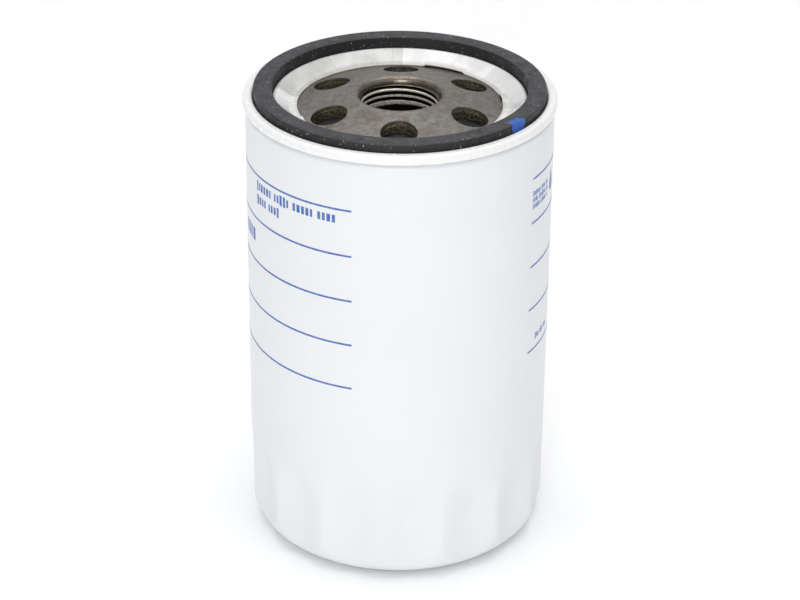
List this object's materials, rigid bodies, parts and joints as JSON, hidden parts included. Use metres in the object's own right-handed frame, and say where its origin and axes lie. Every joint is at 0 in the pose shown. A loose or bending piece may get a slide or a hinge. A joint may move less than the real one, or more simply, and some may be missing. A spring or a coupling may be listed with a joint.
{
  "type": "oil filter",
  "caption": "Spin-on engine oil filter: fluted painted can, square gasket in a rolled seam, threaded plate with oil holes, and a sprung paper element with bypass valve inside.",
  "frame": {"origin": "centre of the closed end's rest plane", "axes": "+Z along the can, from the closed end towards the threaded end; one oil hole lies near +Y and one near -Y"},
  "size_m": [0.0762, 0.0762, 0.1187],
  "materials": {
    "white_paint": "gloss stoved enamel",
    "retainer_paint": "gloss stoved enamel",
    "seam_sealant": "matte",
    "gasket_rubber": "satin moulded",
    "bare_steel": "oily, as pressed",
    "nitrile_rubber": "matte moulded",
    "tinned_steel": "bright rolled",
    "plastisol": "cured, matte",
    "filter_paper": "resin-treated, matte",
    "tube_steel": "rolled",
    "turned_steel": "turned",
    "spring_steel": "drawn"
  },
  "bodies": {
    "can": {"can_shell": "white_paint", "seal_retainer": "retainer_paint", "seam_compound": "seam_sealant", "outer_gasket": "gasket_rubber", "thread_plate": "bare_steel", "element_spring": "spring_steel"},
    "element": {"element_grommet": "nitrile_rubber", "top_end_cap": "tinned_steel", "top_adhesive": "plastisol", "pleated_media": "filter_paper", "pleat_clip": "tinned_steel", "centre_tube": "tube_steel", "bottom_adhesive": "plastisol", "bottom_end_cap": "tinned_steel", "bypass_seat": "tinned_steel", "bypass_cage": "tinned_steel", "bypass_spring": "spring_steel", "spring_cup": "tinned_steel"},
    "bypass_valve": {"bypass_poppet": "turned_steel", "bypass_washer": "nitrile_rubber"},
    "diaphragm": {"antidrain_diaphragm": "nitrile_rubber"}
  },
  "joints": [
    {"name": "element_float", "type": "slide", "parent": "can", "child": "element", "axis": [0, 0, 1], "range_m": [-0.002, 0], "stiffness_N_per_m": 900, "springref_m": 0.012, "deforming": ["element_spring"]},
    {"name": "bypass_lift", "type": "slide", "parent": "element", "child": "bypass_valve", "axis": [0, 0, 1], "range_m": [0, 0.003], "stiffness_N_per_m": 3100, "springref_m": -0.007, "deforming": ["bypass_spring"]},
    {"name": "diaphragm_open", "type": "slide", "parent": "can", "child": "diaphragm", "axis": [0, 0, 1], "range_m": [-0.0025, 0], "stiffness_N_per_m": 300, "springref_m": 0.002, "deforming": ["antidrain_diaphragm"]}
  ]
}
